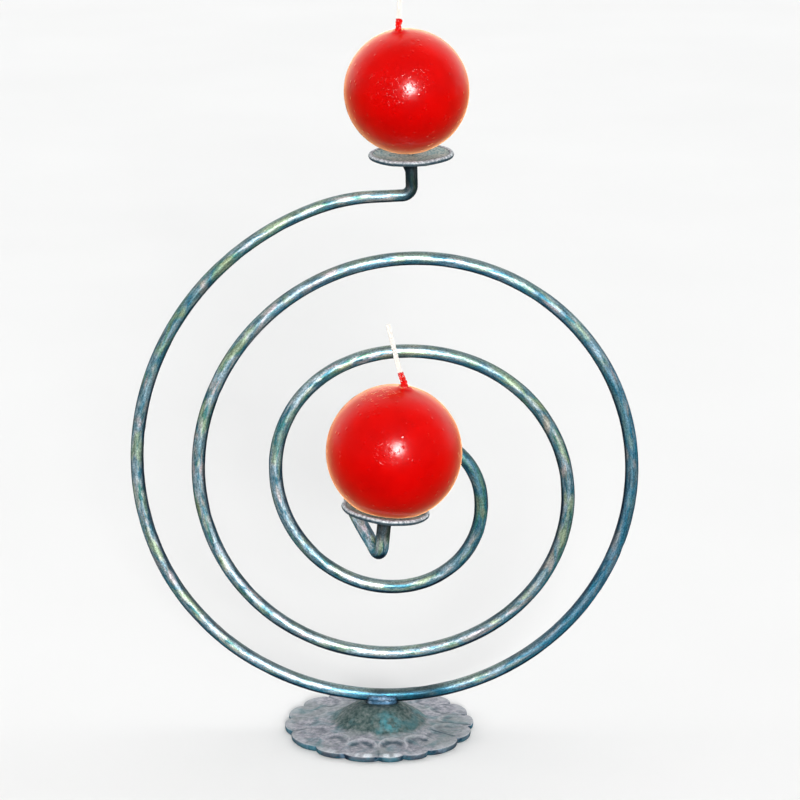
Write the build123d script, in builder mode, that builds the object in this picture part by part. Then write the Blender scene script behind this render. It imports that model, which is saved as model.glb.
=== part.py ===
# Spiral candle holder in forged round bar: a conical spiral that stands on a scalloped
# sheet-steel foot, with a drip pan and a ball candle on each end of the bar.
# Millimetres. +Z up, the viewer stands at -Y. Origin: centre of the foot on the table.
import os
from math import atan2, cos, pi, radians, sin, tan

from build123d import *

os.makedirs("parts", exist_ok=True)

# ---------------------------------------------------------------- driving dimensions
bar_d = 8.2  # round bar with its coat of lacquer
bend_r_upper = 6.0  # centreline radius of the bend under the upper pan
bend_r_lower = 5.0  # centreline radius of the bend under the lower pan

pan_r = 25.8  # drip pans
pan_sheet = 1.6
pan_bead_r = 1.6  # rolled rim
upper_dish, lower_dish = 2.2, 1.4  # depth of the hollow below the rim
pan_flat_r = 9.0  # flat middle of the pan
weld_top_r = 5.7  # weld collar below the lower pan
weld_h = 4.2
flare_top_r = 7.4  # longer, flared collar below the upper pan
flare_mid_r = 5.5
flare_h = 8.6

spike_r = 1.5
spike_above = 20.0  # above the floor of the pan
spike_point = 6.0
spike_in_bar = 8.0
spike_bore_r = 1.8  # hole that the spike leaves in the wax

upper_ball_r = 37.4
lower_ball_r = 39.4
ball_flat_gap = 0.95  # the lower ball's flat underside stands this far above the floor of its pan
coat = 1.5  # dipped coat on the wax
wick_r = 1.55
wick_dip = 0.5  # wax on the dipped foot of the wick

foot_tip_r = 59.0  # scalloped rim: petals
foot_notch_r = 56.6  # scalloped rim: notches
foot_sheet = 1.6
foot_rim_h = 2.4  # height of the turned-down rim
foot_rim_w = 1.9
crown_top_z = 17.2
crown_top_r = 13.0
crown_foot_r = 28.5
crown_foot_z = 6.0
flange_edge_z = 3.2  # upper face of the flange at the rim
flute_r = 1.7
flute_depth = 0.6

boss_len, boss_w, boss_top_z = 19.0, 10.4, 20.6
boss_x = 2.0
tenon_r, tenon_head_r, tenon_head_h = 4.0, 6.0, 1.6
bead_r, bead_len = 1.9, 16.0

# angles of the notches between the petals, from +X towards the viewer, hammered by eye
notch_deg = [7, 29, 57, 74, 90, 112, 134, 165, 188, 211, 234, 257, 280, 302, 324, 346]

# upper pan: middle of its rim, and the direction its spike points in
upper_rim = Vector(19.6, 10.0, 363.1)
upper_up = Vector(-0.026, -0.030, 0.9992).normalized()
upper_drop = 26.4  # from the rim down to the corner of the upper bend
# lower pan
lower_rim = Vector(5.0, -98.5, 175.5)
lower_up = Vector(0.100, 0.0, 0.995).normalized()
lower_drop = 31.5

# middles of the two wax balls
upper_ball = Vector(17.0, 8.0, 399.9)
lower_ball = Vector(9.65, -99.0, 208.6)

# wick routes: in the wax, at the surface, end of the dipped foot, then the bare braid
upper_wick_pts = [
    (15.3, 6.1, 411.4),
    (12.1, 1.7, 436.2),
    (12.3, 1.0, 445.6),
    (13.3, 0.4, 461.0),
    (14.9, 0.4, 476.6),
]
lower_wick_pts = [
    (12.3, -99.8, 221.2),
    (16.9, -101.6, 246.4),
    (12.9, -103.2, 257.8),
    (9.1, -103.4, 273.2),
    (6.3, -103.0, 285.4),
]

# corner points of the bar's centreline between its two end bends, from the outside of the
# spiral inwards; every corner is rounded with the largest arc its runs allow
spiral_pts = [
    (-27.6, 10.7, 334.5),
    (-79.7, 9.4, 308.5),
    (-120.4, 8.2, 266.6),
    (-144.9, 6.9, 213.1),
    (-149.4, 5.6, 154.3),
    (-132.3, 4.3, 98.9),
    (-97.1, 3.0, 55.7),
    (-51.2, 1.7, 29.3),
    (-1.7, 0.4, 19.8),
    (47.2, -0.9, 25.9),
    (91.7, -2.2, 47.1),
    (127.7, -3.5, 82.2),
    (150.6, -4.8, 128.2),
    (156.0, -6.1, 180.2),
    (142.0, -7.4, 230.2),
    (111.8, -8.7, 270.2),
    (71.2, -10.0, 295.5),
    (26.4, -11.3, 304.8),
    (-17.4, -12.6, 298.7),
    (-56.1, -13.9, 279.0),
    (-86.4, -15.1, 247.9),
    (-105.6, -16.4, 208.4),
    (-110.4, -17.7, 164.3),
    (-99.1, -19.0, 121.5),
    (-73.4, -20.3, 86.8),
    (-38.1, -21.6, 64.5),
    (1.3, -22.9, 56.4),
    (40.3, -24.2, 61.7),
    (75.4, -25.5, 79.5),
    (102.1, -26.8, 108.8),
    (115.4, -28.1, 146.1),
    (112.6, -29.4, 184.4),
    (96.3, -30.7, 216.2),
    (72.2, -32.0, 237.6),
    (46.1, -33.3, 248.8),
    (20.5, -34.6, 252.6),
    (-4.0, -35.9, 250.6),
    (-27.3, -37.2, 241.8),
    (-47.0, -38.5, 225.1),
    (-59.4, -39.7, 201.6),
    (-62.1, -41.0, 174.8),
    (-55.0, -42.3, 149.0),
    (-39.8, -43.6, 127.7),
    (-18.8, -44.9, 113.2),
    (5.7, -46.4, 107.6),
    (30.1, -48.0, 112.1),
    (50.0, -49.3, 126.5),
    (61.0, -50.4, 147.4),
    (61.8, -51.2, 169.2),
    (56.3, -51.6, 184.5),
    (47.4, -51.7, 195.1),
    (35.5, -51.7, 201.9),
    (22.0, -51.6, 204.4),
    (8.4, -51.5, 202.0),
    (-3.5, -51.4, 195.2),
    (-12.3, -51.5, 184.6),
    (-17.0, -52.3, 171.9),
    (-15.6, -56.8, 163.2),
    (-11.2, -68.0, 157.6),
]

# ---------------------------------------------------------------- helpers on points
upper_depth, lower_depth = upper_dish + pan_sheet, lower_dish + pan_sheet  # rim to underside
bar_r = bar_d / 2


def corner_radii(points, share=0.49):
    """The largest arc for each inner corner: share of the shorter run over tan(half the turn)."""
    radii = []
    for a, b, c in zip(points, points[1:], points[2:]):
        u, v = b - a, c - b
        half = radians(u.get_angle(v)) / 2
        radii.append(share * min(u.length, v.length) / tan(half))
    return radii


def frame_at(origin, up):
    """Plane with its Z along up and its X as near +X as can be."""
    x = Vector(1, 0, 0) - up * up.X
    return Plane(origin=origin, x_dir=x, z_dir=up)


def half_plane(plane):
    """Sketch plane through the axis of a frame: sketch x is the radius, sketch y the height."""
    return Plane(origin=plane.origin, x_dir=plane.x_dir, z_dir=-plane.y_dir)


upper_frame = frame_at(upper_rim, upper_up)
lower_frame = frame_at(lower_rim, lower_up)

# ---------------------------------------------------------------- the bar
bar_pts = (
    [upper_rim - upper_up * upper_depth, upper_rim - upper_up * upper_drop]
    + [Vector(*q) for q in spiral_pts]
    + [lower_rim - lower_up * lower_drop, lower_rim - lower_up * lower_depth]
)
bar_radii = corner_radii(bar_pts)
bar_radii[0] = bend_r_upper
bar_radii[-1] = bend_r_lower

with BuildPart() as spiral_rod:
    with BuildLine() as bar_path:
        FilletPolyline(*bar_pts, radius=bar_radii)
    bar_wire = bar_path.wires()[0]
    with BuildSketch(Plane(origin=bar_pts[0], z_dir=-upper_up)):
        Circle(bar_r)
    sweep(path=bar_wire)
    # blind holes for the spikes in both ends
    for end, up in ((bar_pts[0], upper_up), (bar_pts[-1], lower_up)):
        with BuildSketch(Plane(origin=end, z_dir=-up)):
            Circle(spike_r)
        extrude(amount=spike_in_bar, mode=Mode.SUBTRACT)
spiral_rod.part.label = "spiral_rod"
export_step(spiral_rod.part, "parts/spiral_rod.step")
print("bar length", round(bar_wire.length, 1), "volume", round(spiral_rod.part.volume, 1),
      "section x length", round(pi * bar_r**2 * bar_wire.length, 1))
print("bar radii", [round(r, 1) for r in bar_radii])

# ---------------------------------------------------------------- the foot
def notch(deg, r):
    a = -radians(deg)
    return (r * cos(a), r * sin(a))


def scallop(shrink):
    """Corner points of the scalloped outline: a notch, then the tip of the petal after it."""
    out = []
    n = len(notch_deg)
    for i, a in enumerate(notch_deg):
        b = notch_deg[(i + 1) % n] + (360 if i == n - 1 else 0)
        out.append((notch(a, foot_notch_r - shrink), notch((a + b) / 2, foot_tip_r - shrink),
                    notch(b, foot_notch_r - shrink)))
    return out


flange_slope = (crown_foot_z - flange_edge_z) / (foot_tip_r - crown_foot_r)
with BuildPart() as base_plate:
    # sheet of revolution: flat crown, cone, flange
    with BuildSketch(Plane.XZ):
        with BuildLine():
            Polyline(
                (tenon_r, crown_top_z),
                (crown_top_r, crown_top_z),
                (crown_foot_r, crown_foot_z),
                (foot_tip_r + 2, flange_edge_z - 2 * flange_slope),
                (foot_tip_r + 2, flange_edge_z - 2 * flange_slope - foot_sheet),
                (crown_foot_r - 0.9, crown_foot_z - foot_sheet),
                (crown_top_r - 0.9, crown_top_z - foot_sheet),
                (tenon_r, crown_top_z - foot_sheet),
                close=True,
            )
        make_face()
    revolve(axis=Axis.Z)
    # shoulders of the crown are pressed round
    rings = base_plate.edges().filter_by(GeomType.CIRCLE)
    fillet(
        rings.filter_by(lambda e: abs(e.radius - crown_top_r) < 0.01 and abs(e.center().Z - crown_top_z) < 0.01),
        3.0,
    )
    rings = base_plate.edges().filter_by(GeomType.CIRCLE)
    fillet(
        rings.filter_by(lambda e: abs(e.radius - crown_foot_r) < 0.01 and abs(e.center().Z - crown_foot_z) < 0.01),
        5.0,
    )
    # scalloped outline
    with BuildSketch():
        with BuildLine():
            for a, m, b in scallop(0.0):
                ThreePointArc(a, m, b)
        make_face()
    extrude(amount=crown_top_z + 5, mode=Mode.INTERSECT)
    # turned-down rim that follows the petals and stands on the table
    with BuildSketch():
        with BuildLine():
            for a, m, b in scallop(0.0):
                ThreePointArc(a, m, b)
        make_face()
        with BuildLine():
            for a, m, b in scallop(foot_rim_w):
                ThreePointArc(a, m, b)
        make_face(mode=Mode.SUBTRACT)
    extrude(amount=foot_rim_h)
    # hammered flutes run out to the notches
    for deg in notch_deg:
        a = -radians(deg)
        slope = atan2(crown_foot_z - flange_edge_z, foot_tip_r - crown_foot_r)
        z_start = crown_foot_z - 4.0 * tan(slope) + flute_r - flute_depth
        r_start = crown_foot_r + 4.0
        with BuildSketch(
            Plane(
                origin=(r_start * cos(a), r_start * sin(a), z_start),
                z_dir=(cos(a) * cos(slope), sin(a) * cos(slope), -sin(slope)),
            )
        ):
            Circle(flute_r)
        extrude(amount=40.0, mode=Mode.SUBTRACT)
base_plate.part.label = "base_plate"
export_step(base_plate.part, "parts/base_plate.step")

with BuildPart() as base_boss:
    with BuildSketch(Plane.XY.offset(crown_top_z)):
        with Locations((boss_x, 0)):
            RectangleRounded(boss_len, boss_w, 2.5)
    extrude(amount=boss_top_z - crown_top_z)
    # tenon through the crown, peened below
    with BuildSketch(Plane.XY.offset(crown_top_z)):
        Circle(tenon_r)
    extrude(amount=-foot_sheet)
    with BuildSketch(Plane.XY.offset(crown_top_z - foot_sheet)):
        Circle(tenon_head_r)
    extrude(amount=-tenon_head_h, taper=30)
    # cradle for the bar
    add(spiral_rod.part, mode=Mode.SUBTRACT)
base_boss.part.label = "base_boss"
export_step(base_boss.part, "parts/base_boss.step")

with BuildPart() as base_weld:
    for side in (-1, 1):
        with BuildSketch(Plane(origin=(boss_x - bead_len / 2, side * 4.6, boss_top_z + 0.5), z_dir=(1, 0, 0))):
            Circle(bead_r)
        extrude(amount=bead_len)
        with Locations(
            (boss_x - bead_len / 2, side * 4.6, boss_top_z + 0.5), (boss_x + bead_len / 2, side * 4.6, boss_top_z + 0.5)
        ):
            Sphere(bead_r)
    add(spiral_rod.part, mode=Mode.SUBTRACT)
    add(base_boss.part, mode=Mode.SUBTRACT)
base_weld.part.label = "base_weld"
export_step(base_weld.part, "parts/base_weld.step")


# ---------------------------------------------------------------- pans, spikes and collars
def pan_profile(dish):
    """Half section of a drip pan: flat middle, dished wall, rolled rim. Height 0 is the top of the rim."""
    depth = dish + pan_sheet
    mid_r, mid = pan_r - pan_bead_r, -pan_bead_r  # middle of the rolled rim
    side = pan_bead_r * cos(radians(38)), pan_bead_r * sin(radians(38))
    upper = (mid_r - side[0], mid + side[1])  # where the wall runs into the roll, above and below
    under = (mid_r - side[0], mid - side[1])
    half = pan_bead_r * cos(radians(45))
    wall = (16.6, 0.74 * -dish + 0.26 * upper[1])
    Polyline((spike_r, -dish), (spike_r, -depth), (pan_flat_r, -depth))
    ThreePointArc((pan_flat_r, -depth), (wall[0], 0.74 * -depth + 0.26 * under[1]), under)
    ThreePointArc(under, (mid_r + half, mid - half), (pan_r, mid))
    ThreePointArc((pan_r, mid), (mid_r + half, mid + half), upper)
    ThreePointArc(upper, wall, (pan_flat_r, -dish))
    Line((pan_flat_r, -dish), (spike_r, -dish))


def spike_profile(dish):
    """Half section of a spike, from its foot in the bar to its point."""
    foot = -dish - pan_sheet - spike_in_bar
    top = -dish + spike_above
    Polyline((0, foot), (spike_r, foot), (spike_r, top - spike_point), (0.25, top), (0, top), close=True)


def collar_profile(depth, top_r, mid, height):
    """Half section of the weld collar under a pan; mid is a point of its hollow side."""
    top = -depth
    Line((bar_r, top), (top_r, top))
    ThreePointArc((top_r, top), (mid[0], top - mid[1]), (bar_r + 0.12, top - height))
    Polyline((bar_r + 0.12, top - height), (bar_r, top - height), (bar_r, top))


with BuildPart() as upper_pan:
    with BuildSketch(half_plane(upper_frame)):
        with BuildLine():
            pan_profile(upper_dish)
        make_face()
    revolve(axis=Axis(upper_rim, upper_up))
upper_pan.part.label = "upper_pan"
export_step(upper_pan.part, "parts/upper_pan.step")

with BuildPart() as lower_pan:
    with BuildSketch(half_plane(lower_frame)):
        with BuildLine():
            pan_profile(lower_dish)
        make_face()
    revolve(axis=Axis(lower_rim, lower_up))
lower_pan.part.label = "lower_pan"
export_step(lower_pan.part, "parts/lower_pan.step")

with BuildPart() as upper_spike:
    with BuildSketch(half_plane(upper_frame)):
        with BuildLine():
            spike_profile(upper_dish)
        make_face()
    revolve(axis=Axis(upper_rim, upper_up))
upper_spike.part.label = "upper_spike"
export_step(upper_spike.part, "parts/upper_spike.step")

with BuildPart() as lower_spike:
    with BuildSketch(half_plane(lower_frame)):
        with BuildLine():
            spike_profile(lower_dish)
        make_face()
    revolve(axis=Axis(lower_rim, lower_up))
lower_spike.part.label = "lower_spike"
export_step(lower_spike.part, "parts/lower_spike.step")

with BuildPart() as upper_pan_weld:
    with BuildSketch(half_plane(upper_frame)):
        with BuildLine():
            collar_profile(upper_depth, flare_top_r, (flare_mid_r, 4.0), flare_h)
        make_face()
    revolve(axis=Axis(upper_rim, upper_up))
upper_pan_weld.part.label = "upper_pan_weld"
export_step(upper_pan_weld.part, "parts/upper_pan_weld.step")

with BuildPart() as lower_pan_weld:
    with BuildSketch(half_plane(lower_frame)):
        with BuildLine():
            collar_profile(lower_depth, weld_top_r, (bar_r + 0.62, 1.5), weld_h)
        make_face()
    revolve(axis=Axis(lower_rim, lower_up))
lower_pan_weld.part.label = "lower_pan_weld"
export_step(lower_pan_weld.part, "parts/lower_pan_weld.step")


# ---------------------------------------------------------------- candles
def wick_line(points):
    """Wick route with its corners rounded."""
    pts = [Vector(*q) for q in points]
    radii = corner_radii(pts, 0.45)
    radii[0] = min(radii[0], 6.0)
    return FilletPolyline(*pts, radius=radii)


def along(points, i):
    """Plane at point i of a wick route, looking along the run that starts there."""
    a, b = Vector(*points[i]), Vector(*points[i + 1])
    return Plane(origin=a, z_dir=b - a), (b - a).length


with BuildPart() as upper_wick:
    with BuildLine() as upper_wick_path:
        wick_line(upper_wick_pts)
    with BuildSketch(along(upper_wick_pts, 0)[0]):
        Circle(wick_r)
    sweep(path=upper_wick_path.wires()[0])
upper_wick.part.label = "upper_wick"
export_step(upper_wick.part, "parts/upper_wick.step")

with BuildPart() as lower_wick:
    with BuildLine() as lower_wick_path:
        wick_line(lower_wick_pts)
    with BuildSketch(along(lower_wick_pts, 0)[0]):
        Circle(wick_r)
    sweep(path=lower_wick_path.wires()[0])
lower_wick.part.label = "lower_wick"
export_step(lower_wick.part, "parts/lower_wick.step")

upper_bore = -upper_dish + spike_above + 1.5  # the spikes' holes end this far above the rims
lower_bore = -lower_dish + spike_above + 1.5
# the lower ball sits in its pan on a flat underside; the coat there is as thick as elsewhere
flat_plane = Plane(origin=lower_rim - lower_up * (lower_dish - ball_flat_gap), z_dir=lower_up)
core_flat_plane = flat_plane.offset(coat)

with BuildPart() as upper_candle_core:
    with Locations(upper_ball):
        Sphere(upper_ball_r - coat)
    with BuildSketch(Plane(origin=upper_rim - upper_up * 10, z_dir=upper_up)):
        Circle(spike_bore_r)
    extrude(amount=10 + upper_bore, mode=Mode.SUBTRACT)
    add(upper_wick.part, mode=Mode.SUBTRACT)
upper_candle_core.part.label = "upper_candle_core"
export_step(upper_candle_core.part, "parts/upper_candle_core.step")

with BuildPart() as upper_candle_coat:
    with Locations(upper_ball):
        Sphere(upper_ball_r)
    sleeve_plane, sleeve_len = along(upper_wick_pts, 1)
    with BuildSketch(sleeve_plane):
        Circle(wick_r + wick_dip)
    extrude(amount=sleeve_len * 0.9)
    with Locations(upper_ball):
        Sphere(upper_ball_r - coat, mode=Mode.SUBTRACT)
    with BuildSketch(Plane(origin=upper_rim - upper_up * 10, z_dir=upper_up)):
        Circle(spike_bore_r)
    extrude(amount=10 + upper_bore, mode=Mode.SUBTRACT)
    add(upper_wick.part, mode=Mode.SUBTRACT)
upper_candle_coat.part.label = "upper_candle_coat"
export_step(upper_candle_coat.part, "parts/upper_candle_coat.step")

with BuildPart() as lower_candle_core:
    with Locations(lower_ball):
        Sphere(lower_ball_r - coat)
    split(bisect_by=core_flat_plane, keep=Keep.TOP)
    with BuildSketch(Plane(origin=lower_rim - lower_up * 10, z_dir=lower_up)):
        Circle(spike_bore_r)
    extrude(amount=10 + lower_bore, mode=Mode.SUBTRACT)
    add(lower_wick.part, mode=Mode.SUBTRACT)
lower_candle_core.part.label = "lower_candle_core"
export_step(lower_candle_core.part, "parts/lower_candle_core.step")

with BuildPart() as lower_hollow:
    with Locations(lower_ball):
        Sphere(lower_ball_r - coat)
    split(bisect_by=core_flat_plane, keep=Keep.TOP)

with BuildPart() as lower_candle_coat:
    with Locations(lower_ball):
        Sphere(lower_ball_r)
    split(bisect_by=flat_plane, keep=Keep.TOP)
    sleeve_plane, sleeve_len = along(lower_wick_pts, 1)
    with BuildSketch(sleeve_plane):
        Circle(wick_r + wick_dip)
    extrude(amount=sleeve_len * 0.9)
    add(lower_hollow.part, mode=Mode.SUBTRACT)
    with BuildSketch(Plane(origin=lower_rim - lower_up * 10, z_dir=lower_up)):
        Circle(spike_bore_r)
    extrude(amount=10 + lower_bore, mode=Mode.SUBTRACT)
    add(lower_wick.part, mode=Mode.SUBTRACT)
lower_candle_coat.part.label = "lower_candle_coat"
export_step(lower_candle_coat.part, "parts/lower_candle_coat.step")

for name in (spiral_rod, base_plate, base_boss, base_weld, upper_pan, lower_pan, upper_spike, lower_spike,
             upper_pan_weld, lower_pan_weld, upper_wick, lower_wick, upper_candle_core, upper_candle_coat,
             lower_candle_core, lower_candle_coat):
    print(name.part.label, "solids", len(name.part.solids()), "volume", round(name.part.volume, 1))
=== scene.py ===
import math

import bmesh
import bpy
import numpy as np
from mathutils import Matrix, Vector, noise


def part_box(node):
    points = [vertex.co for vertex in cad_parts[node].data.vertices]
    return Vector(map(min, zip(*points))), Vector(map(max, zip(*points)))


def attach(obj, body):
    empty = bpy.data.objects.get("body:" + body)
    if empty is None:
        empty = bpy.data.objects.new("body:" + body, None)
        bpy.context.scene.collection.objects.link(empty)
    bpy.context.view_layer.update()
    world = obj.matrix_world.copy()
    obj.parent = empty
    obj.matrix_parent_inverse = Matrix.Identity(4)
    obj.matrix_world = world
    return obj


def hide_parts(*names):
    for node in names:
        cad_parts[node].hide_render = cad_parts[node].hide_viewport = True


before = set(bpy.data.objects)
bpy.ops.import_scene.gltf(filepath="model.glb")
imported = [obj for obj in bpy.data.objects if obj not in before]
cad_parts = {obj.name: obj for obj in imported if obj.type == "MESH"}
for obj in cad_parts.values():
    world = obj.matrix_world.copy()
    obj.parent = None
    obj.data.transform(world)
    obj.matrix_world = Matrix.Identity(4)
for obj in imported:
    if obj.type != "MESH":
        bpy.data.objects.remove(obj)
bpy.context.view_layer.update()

scene = bpy.context.scene
scene.view_settings.view_transform = "Standard"
MM = 0.001

# ------------------------------------------------------------------ measures, millimetres
BAR_R = 4.1
BEND_UPPER, BEND_LOWER = 6.0, 5.0
PAN_R, PAN_SHEET, PAN_BEAD, PAN_FLAT = 25.8, 1.6, 1.6, 9.0
UPPER_DISH, LOWER_DISH = 2.2, 1.4
SPIKE_R, SPIKE_ABOVE, SPIKE_BORE = 1.5, 20.0, 1.8
UPPER_BALL_R, LOWER_BALL_R = 37.4, 39.4
FOOT_TIP, FOOT_NOTCH, FOOT_SHEET = 59.0, 56.6, 1.6
NOTCH_DEG = [7, 29, 57, 74, 90, 112, 134, 165, 188, 211, 234, 257, 280, 302, 324, 346]

UPPER_RIM, LOWER_RIM = np.array([19.6, 10.0, 363.1]), np.array([5.0, -98.5, 175.5])
UPPER_UP = np.array([-0.026, -0.030, 0.9992])
LOWER_UP = np.array([0.100, 0.0, 0.995])
UPPER_UP /= np.linalg.norm(UPPER_UP)
LOWER_UP /= np.linalg.norm(LOWER_UP)
UPPER_DROP, LOWER_DROP = 26.4, 31.5
UPPER_BALL, LOWER_BALL = np.array([17.0, 8.0, 399.9]), np.array([9.65, -99.0, 208.6])

UPPER_WICK = np.array([
    (15.3, 6.1, 411.4), (12.1, 1.7, 436.2), (12.3, 1.0, 445.6), (13.3, 0.4, 461.0), (14.9, 0.4, 476.6)])
LOWER_WICK = np.array([
    (12.3, -99.8, 221.2), (16.9, -101.6, 246.4), (12.9, -103.2, 257.8), (9.1, -103.4, 273.2), (6.3, -103.0, 285.4)])

# corner points of the bar's centreline, from the outside of the spiral inwards
SPIRAL = np.array([
    (-27.6, 10.7, 334.5), (-79.7, 9.4, 308.5), (-120.4, 8.2, 266.6), (-144.9, 6.9, 213.1), (-149.4, 5.6, 154.3),
    (-132.3, 4.3, 98.9), (-97.1, 3.0, 55.7), (-51.2, 1.7, 29.3), (-1.7, 0.4, 19.8), (47.2, -0.9, 25.9),
    (91.7, -2.2, 47.1), (127.7, -3.5, 82.2), (150.6, -4.8, 128.2), (156.0, -6.1, 180.2), (142.0, -7.4, 230.2),
    (111.8, -8.7, 270.2), (71.2, -10.0, 295.5), (26.4, -11.3, 304.8), (-17.4, -12.6, 298.7), (-56.1, -13.9, 279.0),
    (-86.4, -15.1, 247.9), (-105.6, -16.4, 208.4), (-110.4, -17.7, 164.3), (-99.1, -19.0, 121.5), (-73.4, -20.3, 86.8),
    (-38.1, -21.6, 64.5), (1.3, -22.9, 56.4), (40.3, -24.2, 61.7), (75.4, -25.5, 79.5), (102.1, -26.8, 108.8),
    (115.4, -28.1, 146.1), (112.6, -29.4, 184.4), (96.3, -30.7, 216.2), (72.2, -32.0, 237.6), (46.1, -33.3, 248.8),
    (20.5, -34.6, 252.6), (-4.0, -35.9, 250.6), (-27.3, -37.2, 241.8), (-47.0, -38.5, 225.1), (-59.4, -39.7, 201.6),
    (-62.1, -41.0, 174.8), (-55.0, -42.3, 149.0), (-39.8, -43.6, 127.7), (-18.8, -44.9, 113.2), (5.7, -46.4, 107.6),
    (30.1, -48.0, 112.1), (50.0, -49.3, 126.5), (61.0, -50.4, 147.4), (61.8, -51.2, 169.2), (56.3, -51.6, 184.5),
    (47.4, -51.7, 195.1), (35.5, -51.7, 201.9), (22.0, -51.6, 204.4), (8.4, -51.5, 202.0), (-3.5, -51.4, 195.2),
    (-12.3, -51.5, 184.6), (-17.0, -52.3, 171.9), (-15.6, -56.8, 163.2), (-11.2, -68.0, 157.6)])


# ------------------------------------------------------------------ small helpers
def unit(v):
    return v / np.linalg.norm(v)


def smooth(a, b, x):
    t = np.clip((np.asarray(x, float) - a) / (b - a), 0, 1)
    return t * t * (3 - 2 * t)


def wobble(points, scale, seed):
    """Smooth noise between -1 and 1 at points, in millimetres, with features about scale across."""
    shift = Vector((seed * 17.3, seed * -9.1, seed * 5.7))
    return np.array([noise.noise(Vector(p) / scale + shift) for p in points])


def frame_of(up):
    """Two directions square to up, the first as near +X as can be."""
    x = unit(np.array([1.0, 0, 0]) - up * up[0])
    return x, np.cross(up, x)


def tube_faces(rows, around, closed_ends=True):
    """Quads of a tube of rows rings; with closed ends the two centre points come after the rings."""
    i, j = np.meshgrid(np.arange(rows - 1), np.arange(around), indexing="ij")
    k = (j + 1) % around
    quads = np.stack([i * around + j, i * around + k, (i + 1) * around + k, (i + 1) * around + j], -1).reshape(-1, 4)
    faces = quads.tolist()
    if closed_ends:
        a, b = rows * around, rows * around + 1
        last = (rows - 1) * around
        for j in range(around):
            k = (j + 1) % around
            faces.append((a, k, j))
            faces.append((b, last + j, last + k))
    return faces


def make(name, verts_mm, faces, body, mat, nodes=()):
    """A piece from points in millimetres, in the row's frame."""
    me = bpy.data.meshes.new(name)
    me.from_pydata((np.asarray(verts_mm) * MM).tolist(), [], faces)
    bm = bmesh.new()
    bm.from_mesh(me)
    bmesh.ops.recalc_face_normals(bm, faces=bm.faces)
    bm.to_mesh(me)
    bm.free()
    me.polygons.foreach_set("use_smooth", [True] * len(me.polygons))
    ob = bpy.data.objects.new(name, me)
    scene.collection.objects.link(ob)
    me.materials.append(mat)
    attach(ob, body)
    if nodes:
        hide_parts(*nodes)
    return ob


def give(ob, name, values):
    """A vector or number for each point of a mesh, for its material to read."""
    values = np.asarray(values, np.float32)
    kind = "FLOAT_VECTOR" if values.ndim == 2 else "FLOAT"
    at = ob.data.attributes.new(name, kind, "POINT")
    at.data.foreach_set("vector" if values.ndim == 2 else "value", values.ravel())


# ------------------------------------------------------------------ material helpers
class Nodes:
    """A material's node tree, with short calls for the nodes used here."""

    def __init__(self, name):
        self.mat = bpy.data.materials.new(name)
        self.mat.use_nodes = True
        self.tree = self.mat.node_tree
        self.tree.nodes.clear()
        self.out = self.tree.nodes.new("ShaderNodeOutputMaterial")
        self.shader = self.tree.nodes.new("ShaderNodeBsdfPrincipled")
        self.tree.links.new(self.shader.outputs[0], self.out.inputs["Surface"])

    def put(self, socket, value):
        if isinstance(value, bpy.types.NodeSocket):
            self.tree.links.new(value, socket)
        else:
            socket.default_value = value

    def set(self, **values):
        for k, v in values.items():
            self.put(self.shader.inputs[k.replace("_", " ")], v)

    def node(self, kind, **props):
        n = self.tree.nodes.new(kind)
        for k, v in props.items():
            setattr(n, k, v)
        return n

    def place(self):
        return self.node("ShaderNodeTexCoord").outputs["Object"]

    def attribute(self, name, out="Vector"):
        n = self.node("ShaderNodeAttribute", attribute_type="GEOMETRY", attribute_name=name)
        return n.outputs[out]

    def scaled(self, vector, xyz):
        n = self.node("ShaderNodeVectorMath", operation="MULTIPLY")
        self.put(n.inputs[0], vector)
        n.inputs[1].default_value = xyz
        return n.outputs[0]

    def noise(self, vector, scale, detail=3.0, rough=0.55, distort=0.0):
        n = self.node("ShaderNodeTexNoise")
        self.put(n.inputs["Vector"], vector)
        n.inputs["Scale"].default_value = scale
        n.inputs["Detail"].default_value = detail
        n.inputs["Roughness"].default_value = rough
        n.inputs["Distortion"].default_value = distort
        return n.outputs[0]

    def cells(self, vector, scale, feature="F1", jitter=1.0):
        n = self.node("ShaderNodeTexVoronoi", feature=feature)
        self.put(n.inputs["Vector"], vector)
        n.inputs["Scale"].default_value = scale
        n.inputs["Randomness"].default_value = jitter
        return n.outputs["Distance"]

    def ramp(self, value, *stops):
        """stops are (place, colour or grey)."""
        n = self.node("ShaderNodeValToRGB")
        self.put(n.inputs[0], value)
        e = n.color_ramp.elements
        while len(e) < len(stops):
            e.new(0.5)
        for el, (at, c) in zip(e, stops):
            el.position = at
            el.color = (c, c, c, 1) if np.isscalar(c) else (*c, 1)
        return n.outputs[0]

    def mix(self, share, a, b, how="MIX"):
        n = self.node("ShaderNodeMix", data_type="RGBA", blend_type=how)
        self.put(n.inputs[0], share)
        self.put(n.inputs[6], a if isinstance(a, bpy.types.NodeSocket) else (*a, 1))
        self.put(n.inputs[7], b if isinstance(b, bpy.types.NodeSocket) else (*b, 1))
        return n.outputs[2]

    def math(self, how, a, b=0.0, c=None):
        n = self.node("ShaderNodeMath", operation=how)
        self.put(n.inputs[0], a)
        self.put(n.inputs[1], b)
        if c is not None:
            self.put(n.inputs[2], c)
        return n.outputs[0]

    def span(self, value, a, b, lo, hi):
        n = self.node("ShaderNodeMapRange")
        self.put(n.inputs[0], value)
        for i, v in zip((1, 2, 3, 4), (a, b, lo, hi)):
            n.inputs[i].default_value = v
        return n.outputs[0]

    def bump(self, height, strength, distance, normal=None):
        n = self.node("ShaderNodeBump")
        n.inputs["Strength"].default_value = strength
        n.inputs["Distance"].default_value = distance
        self.put(n.inputs["Height"], height)
        if normal is not None:
            self.put(n.inputs["Normal"], normal)
        return n.outputs[0]


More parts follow.
